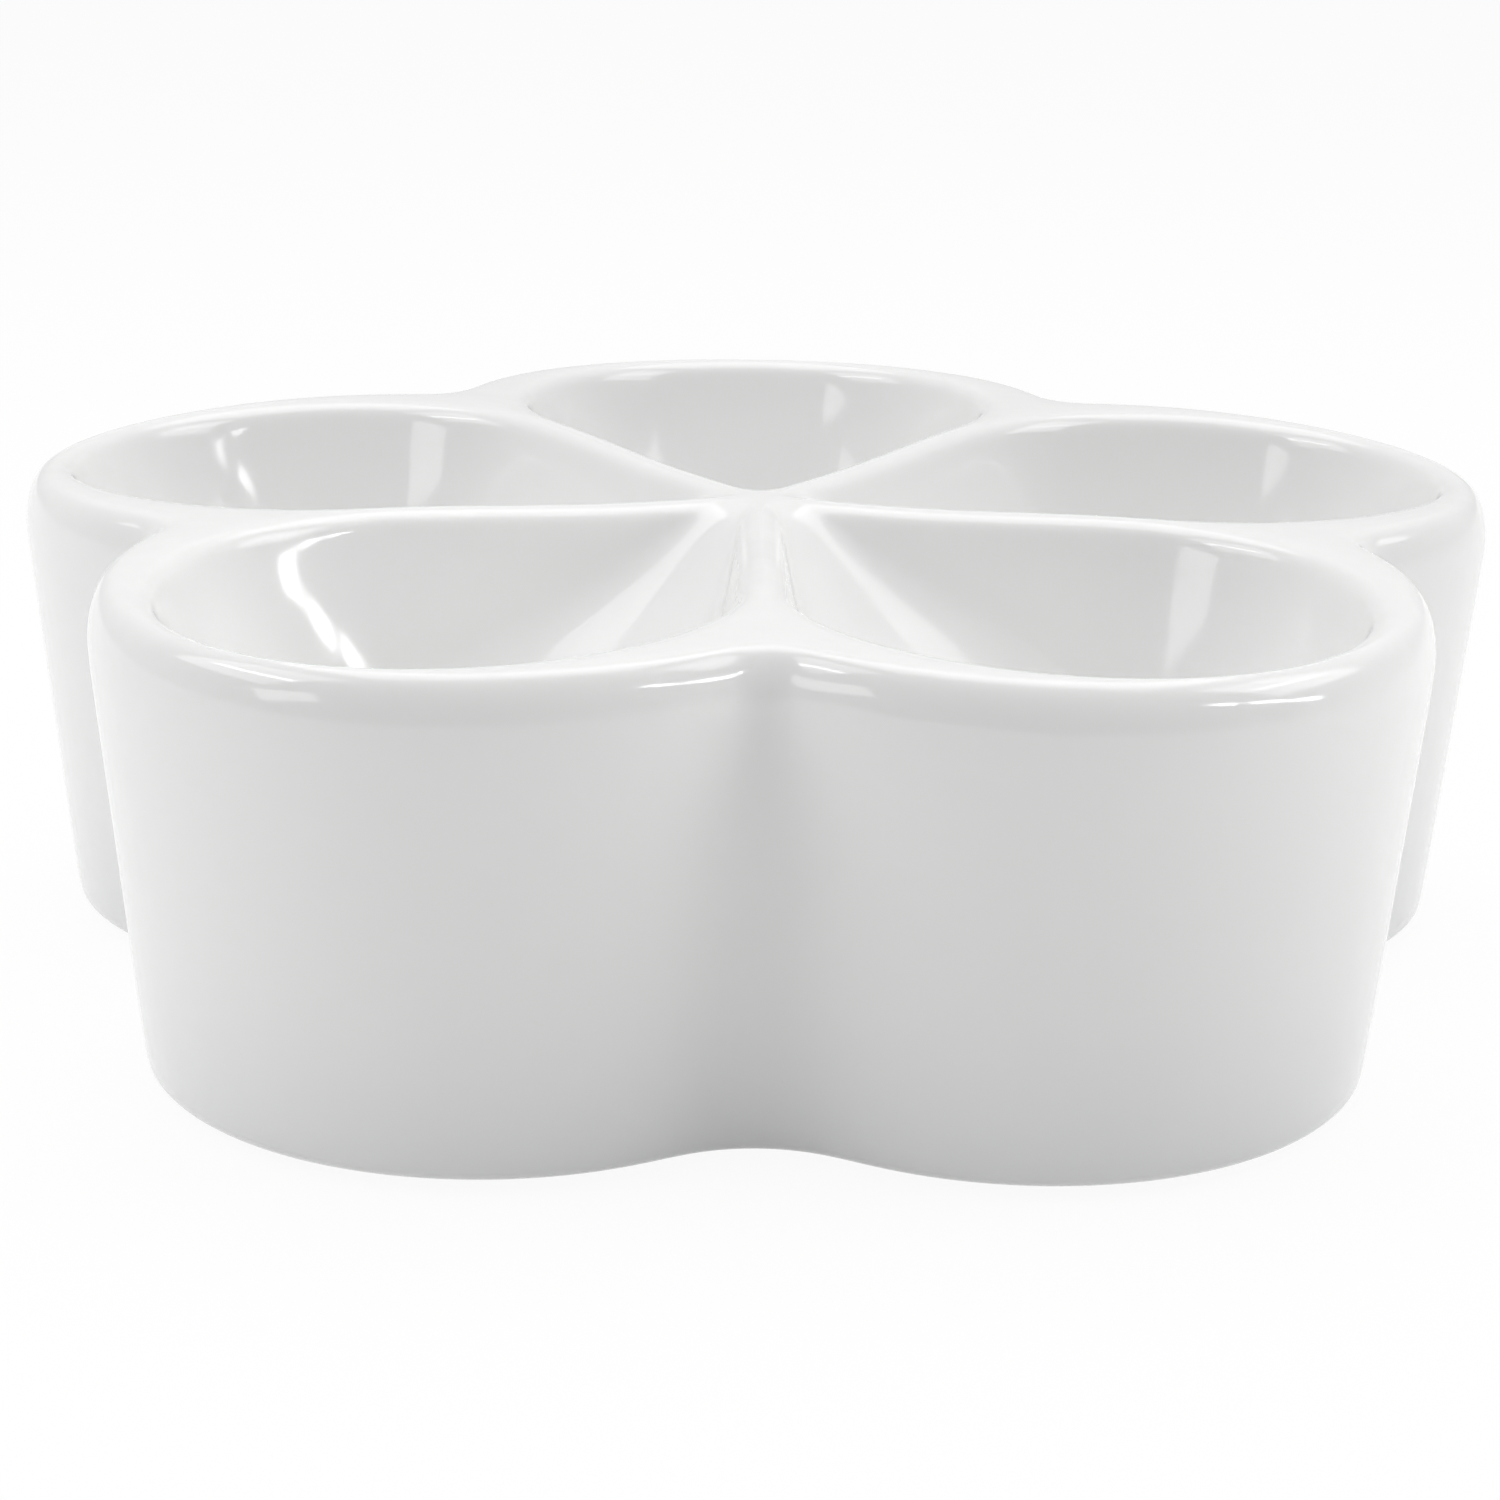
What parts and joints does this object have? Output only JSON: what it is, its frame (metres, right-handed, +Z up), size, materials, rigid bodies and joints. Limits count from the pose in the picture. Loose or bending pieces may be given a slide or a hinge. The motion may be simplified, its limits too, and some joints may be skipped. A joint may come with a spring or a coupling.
{
  "type": "divided serving bowl",
  "caption": "Flower-shaped serving bowl of glazed porcelain, with deep petal compartments round a centre post, for dips, nuts and snacks.",
  "frame": {"origin": "centre of the foot ring's flat face, on the table under the centre post", "axes": "+Z up along the centre post; -Y towards the front divider, which points at the picture's viewer; +Y along the axis of the rear petal"},
  "size_m": [0.2318, 0.2258, 0.072],
  "materials": {
    "glaze": "clear gloss glaze over white porcelain, smooth and even",
    "bare_foot": "unglazed porcelain, ground flat where it stands"
  },
  "bodies": {
    "root": {"petal_wall_1": "glaze", "petal_wall_2": "glaze", "petal_wall_3": "glaze", "petal_wall_4": "glaze", "petal_wall_5": "glaze", "divider_1": "glaze", "divider_2": "glaze", "divider_3": "glaze", "divider_4": "glaze", "divider_5": "glaze", "petal_floor_1": "glaze", "petal_floor_2": "glaze", "petal_floor_3": "glaze", "petal_floor_4": "glaze", "petal_floor_5": "glaze", "centre_post": "glaze", "foot_ring": "bare_foot"}
  },
  "joints": []
}
